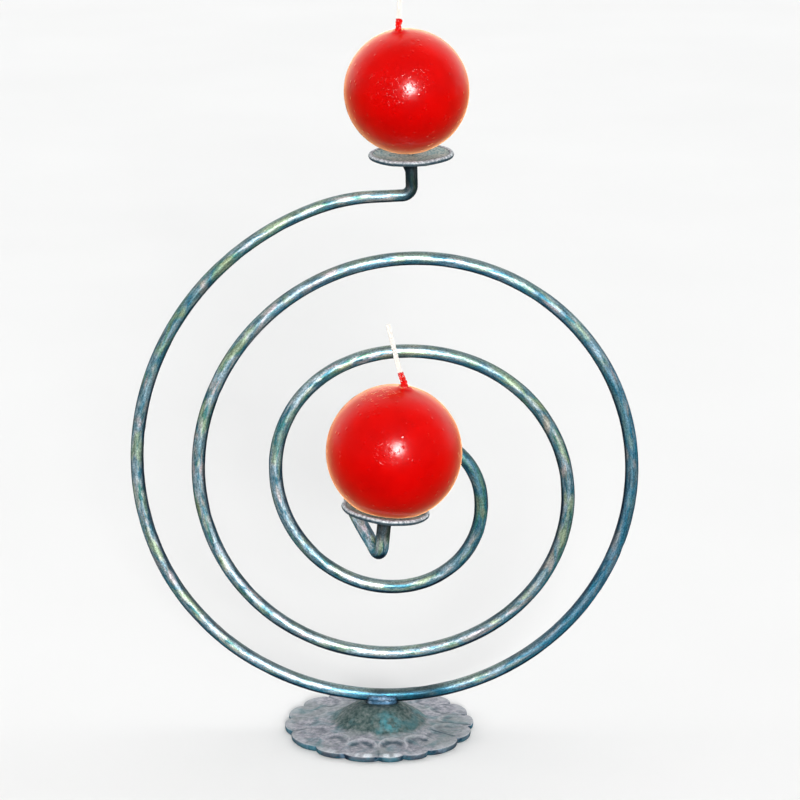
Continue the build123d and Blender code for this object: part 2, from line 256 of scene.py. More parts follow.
# ------------------------------------------------------------------ materials
def bar_iron():
    m = Nodes("bar_iron")
    at = m.attribute("bar_at")  # along the bar and round it, metres
    high = m.attribute("bar_high", "Fac")
    shade = m.attribute("bar_painted_shade", "Fac")  # 1 where painted shade darkens the bar: underneath, on the inner sides of the turns and thinly on their outer sides
    front = m.attribute("bar_highlight_mask", "Fac")  # painted highlight mask: 1 on the front and back, 0 on the sides
    lift = m.attribute("bar_lift", "Fac")  # 1 on the top, -1 underneath
    silver_and_glint = m.attribute("bar_silver_and_glint", "Fac")  # how much of the lacquer is rubbed off, partly painted highlight
    blue = m.attribute("bar_blue", "Fac")  # 1 where it is bluest
    soot_and_shade = m.attribute("bar_pan_shade_and_pad_dark", "Fac")  # 1 where painted shade darkens the ends under the pans, and darker over the pad
    streak = m.noise(m.scaled(at, (60, 560, 560)), 1.0, 3.0, 0.6)
    patch = m.noise(m.scaled(at, (52, 180, 180)), 1.0, 2.0, 0.5, 0.4)
    rub_and_highlight = m.noise(m.scaled(at, (100, 420, 420)), 1.0, 3.0, 0.6, 0.3)
    grain = m.noise(m.scaled(at, (900, 1700, 1700)), 1.0, 2.0, 0.5)
    hue = m.ramp(patch, (0.33, (0.215, 0.270, 0.150)), (0.42, (0.055, 0.210, 0.150)), (0.51, (0.022, 0.150, 0.220)),
                 (0.60, (0.110, 0.215, 0.215)), (0.68, (0.310, 0.325, 0.270)))
    # painted shade: bluer towards the underside, and blue where the lacquer is bluest; dust and painted light from
    # above: grey-green on the top
    under = m.math("MULTIPLY", m.span(lift, 0.02, -0.38, 0.0, 0.9), m.math("POWER", blue, 0.5))
    hue = m.mix(m.math("MAXIMUM", under, m.math("MULTIPLY", blue, m.span(patch, 0.30, 0.68, 0.95, 0.45))), hue, (0.014, 0.165, 0.300))
    deep = m.ramp(streak, (0.28, (0.36, 0.44, 0.52)), (0.50, (1.0, 1.0, 1.0)), (0.72, (1.75, 1.65, 1.6)))
    colour = m.mix(1.0, hue, deep, "MULTIPLY")
    dust_and_top_light = m.math("MULTIPLY", m.span(lift, 0.42, 0.85, 0.0, 1.0), m.span(streak, 0.3, 0.7, 0.35, 0.85))
    colour = m.mix(dust_and_top_light, colour, (0.305, 0.335, 0.270))
    # rubbed silver on the hammer's high spots, kept to the front and back and to a band facing a little upwards: wear
    # and painted highlight
    bared_and_highlight = m.math("MULTIPLY", m.span(high, 0.5, 1.0, 0.6, 1.0), m.span(rub_and_highlight, 0.38, 0.62, 0.05, 1.15))
    bared_and_highlight = m.math("MULTIPLY", m.math("MULTIPLY", bared_and_highlight, silver_and_glint), front)
    bared_and_highlight = m.math("MULTIPLY", bared_and_highlight, m.math("MULTIPLY", m.span(lift, -0.40, 0.06, 0.12, 1.0), m.span(lift, 0.50, 0.78, 1.0, 0.25)))
    bright = m.ramp(patch, (0.36, (0.540, 0.680, 0.470)), (0.46, (0.740, 0.740, 0.690)), (0.56, (0.480, 0.660, 0.760)),
                    (0.66, (0.760, 0.660, 0.710)))
    colour = m.mix(bared_and_highlight, colour, bright)
    # painted shade: dark underneath and on the sides of the turns, mottled along the streaks
    thick = m.math("ADD", shade, m.span(streak, 0.3, 0.7, 0.14, -0.14))
    colour = m.mix(m.span(thick, 0.10, 0.85, 0.0, 0.95), colour, (0.005, 0.015, 0.034))
    speck = m.span(grain, 0.36, 0.64, 0.6, 1.35)
    colour = m.mix(1.0, colour, speck, "MULTIPLY")
    colour = m.mix(soot_and_shade, colour, (0.006, 0.011, 0.012))
    m.set(Base_Color=colour, Metallic=0.55, Specular_Tint=(0.45, 0.52, 0.58, 1), Specular_IOR_Level=0.35)
    m.set(Coat_Weight=0.08, Coat_Roughness=0.25, Coat_IOR=1.45)
    m.set(Roughness=m.span(streak, 0.3, 0.7, 0.50, 0.36))
    fine = m.bump(grain, 0.3, 0.0001)
    m.set(Normal=m.bump(streak, 0.25, 0.0003, fine))
    return m.mat


def weld_iron():
    m = Nodes("weld_iron")
    at = m.place()
    patch = m.noise(at, 160, 3.0, 0.6)
    grain = m.noise(at, 1400, 2.0, 0.6)
    soot_and_shade = m.attribute("weld_painted_shade", "Fac")  # 1 where painted shade darkens it: the collars under the pans, the pad's ends under the bar and its foot on the crown, the beads' ends; the tenon is darker in patches
    colour = m.ramp(patch, (0.34, (0.022, 0.062, 0.110)), (0.5, (0.070, 0.165, 0.270)), (0.64, (0.250, 0.350, 0.460)))
    colour = m.mix(m.span(grain, 0.52, 0.36, 0.0, 0.6), colour, (0.020, 0.045, 0.075))
    colour = m.mix(soot_and_shade, colour, (0.010, 0.016, 0.018))
    m.set(Base_Color=colour, Metallic=0.45, Specular_Tint=(0.45, 0.5, 0.55, 1), Specular_IOR_Level=0.3)
    m.set(Roughness=m.span(grain, 0.3, 0.7, 0.50, 0.66))
    m.set(Normal=m.bump(grain, 0.4, 0.00025))
    return m.mat


def foot_iron():
    m = Nodes("foot_iron")
    at = m.place()
    height = m.attribute("foot_light_and_shade", "Fac")  # 1 on the ridges, which get painted light, 0 in the eyes of the hollows and the creases, which get painted shade
    crown = m.attribute("foot_crown", "Fac")  # 1 on the crown, 0 on the flange
    edge = m.attribute("foot_edge", "Fac")  # 1 on the turned-down edge
    patch = m.noise(at, 70, 4.0, 0.6, 0.8)
    broad = m.noise(at, 38, 3.0, 0.55, 0.5)
    fine = m.noise(at, 380, 4.0, 0.6)
    grain = m.noise(at, 1700, 2.0, 0.6)
    flange = m.ramp(fine, (0.32, (0.170, 0.185, 0.205)), (0.5, (0.290, 0.290, 0.325)), (0.66, (0.430, 0.420, 0.450)))
    flange = m.mix(m.span(broad, 0.42, 0.62, 0.0, 0.6), flange, (0.215, 0.250, 0.240))
    dome = m.ramp(fine, (0.32, (0.026, 0.052, 0.052)), (0.5, (0.074, 0.112, 0.106)), (0.68, (0.160, 0.190, 0.180)))
    spread = m.math("ADD", crown, m.span(patch, 0.3, 0.7, -0.3, 0.3))
    colour = m.mix(m.span(spread, 0.2, 0.8, 0.0, 1.0), flange, dome)
    teal = m.span(patch, 0.53, 0.68, 0.0, 0.55)
    colour = m.mix(teal, colour, (0.060, 0.190, 0.215))
    # blue-green bloom on the front of the crown
    gap = m.node("ShaderNodeVectorMath", operation="DISTANCE")
    m.put(gap.inputs[0], at)
    gap.inputs[1].default_value = (0.006, -0.022, 0.010)
    bloom = m.math("MULTIPLY", m.span(gap.outputs["Value"], 0.002, 0.012, 0.7, 0.0), m.span(m.noise(at, 240, 3.0, 0.6), 0.42, 0.60, 0.05, 1.0))
    colour = m.mix(bloom, colour, (0.075, 0.300, 0.350))
    # painted shade in the eyes of the hollows, the creases and the dents, and painted light on the arches and the lip
    stain_and_shade = m.math("MULTIPLY", m.span(height, 0.06, 0.46, 0.85, 0.0), m.span(m.noise(at, 150, 3.0, 0.6), 0.36, 0.58, 0.35, 1.0))
    colour = m.mix(stain_and_shade, colour, (0.030, 0.062, 0.085))
    lit = m.math("MULTIPLY", m.span(height, 0.56, 1.0, 0.0, 0.8), m.span(grain, 0.38, 0.62, 0.45, 1.0))
    colour = m.mix(lit, colour, (0.62, 0.64, 0.67))
    front_highlight = m.attribute("foot_front_highlight", "Fac")  # 1 where a painted highlight lies on the front lip
    colour = m.mix(m.math("MULTIPLY", front_highlight, m.span(grain, 0.38, 0.62, 0.55, 1.0)), colour, (0.84, 0.88, 0.91))
    # painted shade darkens the turned-down edge, most at the notches
    rim = m.mix(m.span(patch, 0.42, 0.6, 0.0, 1.0), (0.008, 0.022, 0.046), (0.030, 0.140, 0.190))
    rim = m.mix(m.span(m.noise(at, 210, 2.0, 0.5), 0.52, 0.70, 0.0, 0.45), rim, (0.20, 0.32, 0.44))
    colour = m.mix(m.math("MULTIPLY", edge, m.span(fine, 0.34, 0.55, 0.7, 1.0)), colour, rim)
    m.set(Base_Color=colour, Metallic=0.15, Specular_IOR_Level=0.12)
    m.set(Roughness=m.span(fine, 0.3, 0.7, 0.66, 0.48))
    m.set(Normal=m.bump(fine, 0.35, 0.0004, m.bump(grain, 0.3, 0.00015)))
    return m.mat


def pan_iron():
    m = Nodes("pan_iron")
    at = m.place()
    patch = m.noise(at, 85, 4.0, 0.6, 0.5)
    fine = m.noise(at, 700, 3.0, 0.6)
    grain = m.noise(at, 2600, 2.0, 0.5)
    edge = m.attribute("pan_edge", "Fac")  # 1 on the rim, 0.5 below, 0 on the upper face
    colour = m.ramp(patch, (0.34, (0.230, 0.410, 0.400)), (0.5, (0.350, 0.460, 0.410)), (0.66, (0.460, 0.510, 0.420)))
    colour = m.mix(m.span(fine, 0.5, 0.70, 0.0, 0.7), colour, (0.69, 0.71, 0.63))
    colour = m.mix(m.span(fine, 0.52, 0.34, 0.0, 0.85), colour, (0.075, 0.175, 0.205))
    # painted shade on the under face and the rim's lower side, painted highlight along the rim's upper side
    colour = m.mix(m.span(edge, 0.1, 0.5, 0.0, 0.88), colour, (0.016, 0.038, 0.065))
    colour = m.mix(m.math("MULTIPLY", m.span(edge, 0.70, 1.0, 0.0, 0.95), m.span(fine, 0.4, 0.6, 0.35, 1.0)), colour,
                   (0.66, 0.70, 0.72))
    m.set(Base_Color=colour, Metallic=0.15, Specular_IOR_Level=0.15)
    m.set(Roughness=m.span(fine, 0.3, 0.7, 0.60, 0.44))
    m.set(Normal=m.bump(fine, 0.3, 0.00025, m.bump(grain, 0.25, 0.0001)))
    return m.mat


def spike_steel():
    m = Nodes("spike_steel")
    at = m.place()
    drawn = m.noise(m.scaled(at, (2600, 2600, 140)), 1.0, 3.0, 0.6)
    soot_and_shade = m.noise(at, 260, 3.0, 0.6)
    colour = m.ramp(drawn, (0.3, (0.120, 0.150, 0.145)), (0.7, (0.330, 0.370, 0.350)))
    colour = m.mix(m.span(soot_and_shade, 0.46, 0.66, 0.0, 0.7), colour, (0.045, 0.055, 0.055))
    m.set(Base_Color=colour, Metallic=0.55, Specular_Tint=(0.4, 0.4, 0.4, 1))
    m.set(Roughness=m.span(drawn, 0.3, 0.7, 0.55, 0.4))
    m.set(Normal=m.bump(drawn, 0.25, 0.0001))
    return m.mat


def red_wax():
    m = Nodes("red_wax")
    at = m.place()
    cloud = m.noise(at, 55, 3.0, 0.5)
    mottle = m.noise(at, 420, 3.0, 0.55)
    pits = m.cells(at, 330)
    dust_and_top_light = m.noise(at, 1500, 2.0, 0.5)
    colour = m.ramp(cloud, (0.3, (0.530, 0.0005, 0.0005)), (0.7, (0.625, 0.001, 0.0008)))
    colour = m.mix(m.span(mottle, 0.62, 0.8, 0.0, 0.3), colour, (0.75, 0.004, 0.002))
    m.set(Base_Color=colour)
    m.set(Subsurface_Weight=0.85, Subsurface_Radius=(1.0, 0.08, 0.03), Subsurface_Scale=0.016)
    m.set(IOR=1.44, Specular_IOR_Level=0.24, Coat_Weight=0.04, Coat_Roughness=0.36, Coat_IOR=1.5)
    m.set(Sheen_Weight=1.0, Sheen_Roughness=0.33, Sheen_Tint=(1.0, 0.46, 0.19, 1))
    m.set(Roughness=m.span(mottle, 0.3, 0.75, 0.15, 0.24))
    # a few grains and drops stand on the skin
    spot = m.node("ShaderNodeTexVoronoi", feature="F1")
    m.put(spot.inputs["Vector"], at)
    spot.inputs["Scale"].default_value = 260
    some = m.span(spot.outputs["Color"], 0.54, 0.58, 0.0, 1.0)
    drop = m.math("MULTIPLY", m.span(spot.outputs["Distance"], 0.06, 0.30, 1.0, 0.0), some)
    pit = m.ramp(pits, (0.05, 0.0), (0.16, 1.0))
    n = m.bump(pit, 0.2, 0.0002)
    n = m.bump(drop, 0.7, 0.0003, n)
    # scuffed places on the fronts of the two balls and at the lower wick: middle and reach in metres
    scuffed = None
    for middle, reach in (((0.0052, -0.0266, 0.4080), 0.016), ((0.0259, -0.0255, 0.4139), 0.009), ((0.0043, -0.1370, 0.2176), 0.010),
                          ((0.0009, -0.1065, 0.2463), 0.014)):
        gap = m.node("ShaderNodeVectorMath", operation="DISTANCE")
        m.put(gap.inputs[0], at)
        gap.inputs[1].default_value = middle
        near = m.span(gap.outputs["Value"], 0.25 * reach, reach, 1.0, 0.0)
        scuffed = near if scuffed is None else m.math("MAXIMUM", scuffed, near)
    chips = m.span(m.noise(at, 430, 2.0, 0.5, 0.6), 0.57, 0.72, 0.0, 1.0)
    n = m.bump(m.math("MULTIPLY", chips, scuffed), 0.8, 0.0005, n)
    n = m.bump(mottle, 0.12, 0.0004, n)
    m.set(Normal=m.bump(dust_and_top_light, 0.08, 0.0002, n))
    return m.mat


def core_wax():
    m = Nodes("core_wax")
    at = m.place()
    cloud = m.noise(at, 90, 4.0, 0.6)
    colour = m.ramp(cloud, (0.3, (0.62, 0.53, 0.38)), (0.7, (0.80, 0.74, 0.60)))
    m.set(Base_Color=colour, Subsurface_Weight=0.3, Subsurface_Radius=(1.0, 0.7, 0.4), Subsurface_Scale=0.005)
    m.set(Roughness=m.span(cloud, 0.3, 0.7, 0.5, 0.65))
    m.set(Normal=m.bump(m.noise(at, 900, 2.0), 0.2, 0.0002))
    return m.mat


def wick_cotton():
    m = Nodes("wick_cotton")
    at = m.attribute("strand_at")  # along a strand and round it, metres
    fibre = m.noise(m.scaled(at, (420, 9000, 9000)), 1.0, 3.0, 0.6)
    stain_and_shade = m.noise(m.place(), 160, 3.0, 0.6)
    colour = m.ramp(fibre, (0.3, (0.60, 0.56, 0.48)), (0.55, (0.86, 0.84, 0.79)), (0.75, (0.95, 0.94, 0.91)))
    colour = m.mix(m.span(stain_and_shade, 0.5, 0.75, 0.0, 0.25), colour, (0.85, 0.62, 0.55))
    m.set(Base_Color=colour, Sheen_Weight=0.25, Sheen_Roughness=0.5)
    m.set(Roughness=m.span(fibre, 0.3, 0.7, 0.85, 0.6))
    m.set(Normal=m.bump(fibre, 0.6, 0.00015))
    return m.mat


BAR, WELD, FOOT, PAN, SPIKE = bar_iron(), weld_iron(), foot_iron(), pan_iron(), spike_steel()
WAX, CORE, WICK = red_wax(), core_wax(), wick_cotton()


# ------------------------------------------------------------------ the bar
def bezier(a, b, c, n):
    t = np.linspace(0, 1, n)[:, None]
    return (1 - t) ** 2 * a + 2 * t * (1 - t) * b + t * t * c


def arc(a, corner, c, r, n):
    """Points of the arc of radius r that rounds the corner from a to c."""
    u, v = unit(corner - a), unit(c - corner)
    turn = math.acos(np.clip(u @ v, -1, 1))
    t = r * math.tan(turn / 2)
    start = corner - u * t
    side = unit(v - u * (u @ v))
    ang = np.linspace(0, turn, n)[:, None]
    return start + r * (np.sin(ang) * u + (1 - np.cos(ang)) * side)


def resample(line, step):
    seg = np.linalg.norm(np.diff(line, axis=0), axis=1)
    line = np.vstack([line[:1], line[1:][seg > 1e-9]])
    seg = np.linalg.norm(np.diff(line, axis=0), axis=1)
    s = np.r_[0, np.cumsum(seg)]
    at = np.linspace(0, s[-1], max(2, int(round(s[-1] / step)) + 1))
    return np.stack([np.interp(at, s, line[:, k]) for k in range(3)], 1), at


def frames_along(line):
    """Tangents and two cross directions carried along a line without twist."""
    tan = np.gradient(line, axis=0)
    tan /= np.linalg.norm(tan, axis=1)[:, None]
    a = np.cross(tan[0], [0.0, 1.0, 0.0])
    if np.linalg.norm(a) < 0.1:
        a = np.cross(tan[0], [1.0, 0.0, 0.0])
    a = unit(a)
    first = []
    for t in tan:
        a = unit(a - t * (a @ t))
        first.append(a)
    first = np.array(first)
    return tan, first, np.cross(tan, first)


def bar_line():
    p = np.vstack([UPPER_RIM - UPPER_UP * (UPPER_DISH + PAN_SHEET), UPPER_RIM - UPPER_UP * UPPER_DROP, SPIRAL,
                   LOWER_RIM - LOWER_UP * LOWER_DROP, LOWER_RIM - LOWER_UP * (LOWER_DISH + PAN_SHEET)])
    out = [p[:1]]
    n = len(p)
    for i in range(1, n - 1):
        if i == 1:
            out.append(arc(p[0], p[1], p[2], BEND_UPPER, 24))
        elif i == n - 2:
            out.append(arc(p[n - 3], p[n - 2], p[n - 1], BEND_LOWER, 24))
        else:
            before, after = np.linalg.norm(p[i] - p[i - 1]), np.linalg.norm(p[i + 1] - p[i])
            if max(before, after) > 1.5 * min(before, after):
                before = after = min(before, after)
            u, v = unit(p[i] - p[i - 1]), unit(p[i + 1] - p[i])
            out.append(bezier(p[i] - u * before / 2, p[i], p[i] + v * after / 2, 40))
    out.append(p[-1:])
    return np.vstack(out)


# wear, partly painted highlight, and colour of the lacquer: length along the bar, amount
BAR_SILVER_AND_GLINT = [(0, 0.75), (125, 0.8), (150, 0.3), (225, 0.35), (270, 0.75), (335, 1.0), (420, 0.9), (490, 0.5), (512, 0.0),
              (555, 0.0), (575, 0.7), (600, 0.4), (630, 0.2), (800, 0.25), (845, 0.6), (1050, 0.65), (1100, 0.6), (1200, 0.7),
              (1235, 1.2), (1290, 0.9), (1410, 0.75), (1465, 0.5), (1535, 0.6), (1565, 0.7), (1625, 0.35), (1650, 0.7),
              (1690, 1.0), (1735, 0.9), (1755, 0.4), (1805, 0.9), (1905, 0.85), (1965, 0.15), (2030, 0.1), (2085, 0.6), (2100, 1.3),
              (2132, 1.3), (2150, 0.8)]
BAR_BLUE = [(0, 0.05), (210, 0.05), (280, 0.35), (400, 0.25), (450, 0.55), (505, 0.9), (560, 0.9), (580, 0.4), (630, 1.0), (690, 0.95),
            (780, 0.8), (870, 0.65), (1000, 0.5), (1060, 0.2), (1130, 0.05), (1200, 0.05), (1300, 0.4), (1400, 0.35),
            (1460, 0.2), (1560, 0.0), (1600, 0.05), (1625, 0.5), (1680, 0.1), (1730, 0.1), (1755, 0.5), (1830, 0.35),
            (1960, 0.2), (2030, 0.4), (2100, 0.2)]


def make_bar():
    rng = np.random.default_rng(11)
    line, s = resample(bar_line(), 0.97)
    tan, a, b = frames_along(line)
    around = 40
    ang = np.linspace(0, 2 * math.pi, around, endpoint=False)
    full = BAR_R * (0.90 + 0.035 * smooth(15, 60, s) + 0.065 * smooth(60, 380, s))
    full = full * (1 - 0.012 * (0.5 + 0.5 * wobble(np.c_[s, s * 0, s * 0], 46.0, 3)))
    r = np.repeat(full[:, None], around, 1)
    # hammer blows flatten small facets, long in the direction of the bar
    count = int(s[-1] / 1.75)
    for s0, a0, half, deep in zip(rng.uniform(-5, s[-1] + 5, count), rng.uniform(0, 2 * math.pi, count),
                                  rng.uniform(3.2, 9.5, count), rng.gamma(2.2, 0.05, count).clip(0.03, 0.30)):
        i0, i1 = np.searchsorted(s, [s0 - half, s0 + half])
        if i1 <= i0:
            continue
        d = (s[i0:i1] - s0) / half
        flat = full[i0:i1] - deep * (1 - d * d)
        turn = (ang - a0 + math.pi) % (2 * math.pi) - math.pi
        near = np.abs(turn) < 0.9
        cut = flat[:, None] / np.cos(turn[near])[None, :]
        r[i0:i1, near] = np.minimum(r[i0:i1, near], cut)
    # the blows' edges are a little rounded
    for _ in range(1):
        r = 0.6 * r + 0.1 * (np.roll(r, 1, 1) + np.roll(r, -1, 1)) + 0.1 * (
            np.vstack([r[:1], r[:-1]]) + np.vstack([r[1:], r[-1:]]))
    ring = a[:, None, :] * np.cos(ang)[None, :, None] + b[:, None, :] * np.sin(ang)[None, :, None]
    pts = (line[:, None, :] + ring * r[:, :, None]).reshape(-1, 3)
    verts = np.vstack([pts, line[0], line[-1]])
    ob = make("forged_spiral_bar", verts, tube_faces(len(s), around), "stand", BAR, ["spiral_rod"])
    flat = np.stack([np.repeat(s[:, None], around, 1), BAR_R * np.cos(ang)[None, :] + 0 * s[:, None],
                     BAR_R * np.sin(ang)[None, :] + 0 * s[:, None]], -1).reshape(-1, 3)
    flat = np.vstack([flat, [0, 0, 0], [s[-1], 0, 0]]) * MM
    give(ob, "bar_at", flat)
    high = 1 - np.clip((full[:, None] - r) / 0.28, 0, 1)
    give(ob, "bar_high", np.r_[high.ravel(), 1, 1])
    # painted shade: darkest underneath and on the inside of the turns, with a thin dark line on their outside; painted
    # highlight on the front and back
    away = np.c_[line[:, 0] - 12, 0 * s, line[:, 2] - 170]
    inward = -away / np.maximum(np.linalg.norm(away, axis=1), 1)[:, None]
    facing_in = np.einsum("nak,nk->na", ring, inward)
    edge = 0.39 - 0.11 * inward[:, 2:]
    below = smooth(0, 0.32, -ring[:, :, 2] - edge)
    sides = np.abs(inward[:, 0])[:, None]
    inside = 0.85 * smooth(0.42, 0.92, facing_in) * sides
    outside = 0.6 * smooth(0.72, 1.0, -facing_in) * sides
    give(ob, "bar_painted_shade", np.r_[np.maximum(below, np.maximum(inside, outside)).ravel(), 1, 1])
    # painted highlight along the upper front of the run that comes forward to the lower pan
    run = (smooth(2088, 2100, s) * (1 - smooth(s[-1] - 36, s[-1] - 27, s)))[:, None]
    upper_front = smooth(0.45, 0.9, ring @ np.array([-0.36, -0.515, 0.78]))
    rub_and_highlight = smooth(0.28, 0.80, np.abs(ring[:, :, 1]))
    give(ob, "bar_highlight_mask", np.r_[(rub_and_highlight * (1 - run) + upper_front * run).ravel(), 0, 0])
    give(ob, "bar_lift", np.r_[(ring[:, :, 2] * (1 - 0.75 * run)).ravel(), 0, 0])
    # how far it is rubbed, partly painted highlight, and how blue it is, by length along the bar
    for name, stops in (("bar_silver_and_glint", BAR_SILVER_AND_GLINT), ("bar_blue", BAR_BLUE)):
        along, much = np.array(stops, float).T
        give(ob, name, np.r_[np.repeat(np.interp(s, along, much)[:, None], around, 1).ravel(), 0, 0])
    # painted shade under the pans at both ends, and darker over the pad
    soot_and_shade = 0.9 * (1 - smooth(16, 36, s)) + 0.95 * smooth(s[-1] - 21, s[-1] - 10, s)
    soot_and_shade = soot_and_shade + 0.6 * smooth(500, 518, s) * (1 - smooth(550, 566, s))
    patchy = 1 + 0.35 * wobble(np.c_[s, s * 0, s * 0], 7.0, 12)
    give(ob, "bar_pan_shade_and_pad_dark", np.r_[np.repeat(np.clip(soot_and_shade * patchy, 0, 0.9)[:, None], around, 1).ravel(), 0.9, 0.9])
    return ob


# ------------------------------------------------------------------ the foot
# how much further in the hammer drove each notch
NOTCH_IN = np.array([1.0, 1.5, 1.1, 0.7, 0.6, 1.0, 1.3, 1.6, 0.8, 0.6, 1.0, 0.7, 1.2, 0.6, 1.0, 0.7])


def foot_outline(phi_deg):
    """Radius of the scalloped rim, place across the petal (-1 to 1) and petal number at an angle."""
    n = len(NOTCH_DEG)
    d = phi_deg % 360
    starts = np.array(NOTCH_DEG, float)
    i = (np.searchsorted(starts, d, side="right") - 1) % n
    lo = starts[i]
    hi = np.where(i == n - 1, starts[0] + 360, starts[(i + 1) % n])
    d = np.where(d < lo, d + 360, d)
    t = 2 * (d - lo) / (hi - lo) - 1
    deep = NOTCH_IN[i] * (1 - t) / 2 + NOTCH_IN[(i + 1) % n] * (1 + t) / 2
    return FOOT_TIP - (FOOT_TIP - FOOT_NOTCH + deep) * np.abs(t) ** 2.7, t, i


# hollows of the flange: angle as for the notches, radius of the middle, half width, depth
FOOT_CUPS = [
    (55, 43.5, 8.2, 1.00), (78, 42.5, 7.8, 0.90), (104, 43.5, 8.4, 1.05), (129, 43.0, 8.0, 0.60), (154, 43.5, 8.0, 0.42),
    (178, 45.0, 7.6, 0.30), (200, 45.0, 8.0, 0.35), (223, 44.5, 8.0, 0.55), (246, 44.0, 8.2, 0.60), (269, 44.5, 8.0, 0.55),
    (291, 44.0, 8.0, 0.60), (313, 44.5, 8.0, 0.60), (335, 45.0, 8.0, 0.75), (357, 47.0, 7.0, 0.45), (18, 45.0, 6.5, 0.50),
    (36, 45.0, 6.5, 0.45)]
# creases: angle, inner and outer radius, depth
FOOT_CREASES = [
    (4, 35, 60, 0.50), (27, 37, 53, 0.55), (346, 38, 60, 0.36), (324, 40, 60, 0.30), (66, 46, 60, 0.20), (90, 48, 60, 0.26),
    (116, 48, 60, 0.20), (142, 46, 60, 0.16), (165, 44, 60, 0.24), (188, 38, 60, 0.22), (211, 40, 60, 0.20),
    (234, 42, 60, 0.26), (257, 40, 60, 0.30), (280, 42, 60, 0.26), (302, 40, 60, 0.30)]


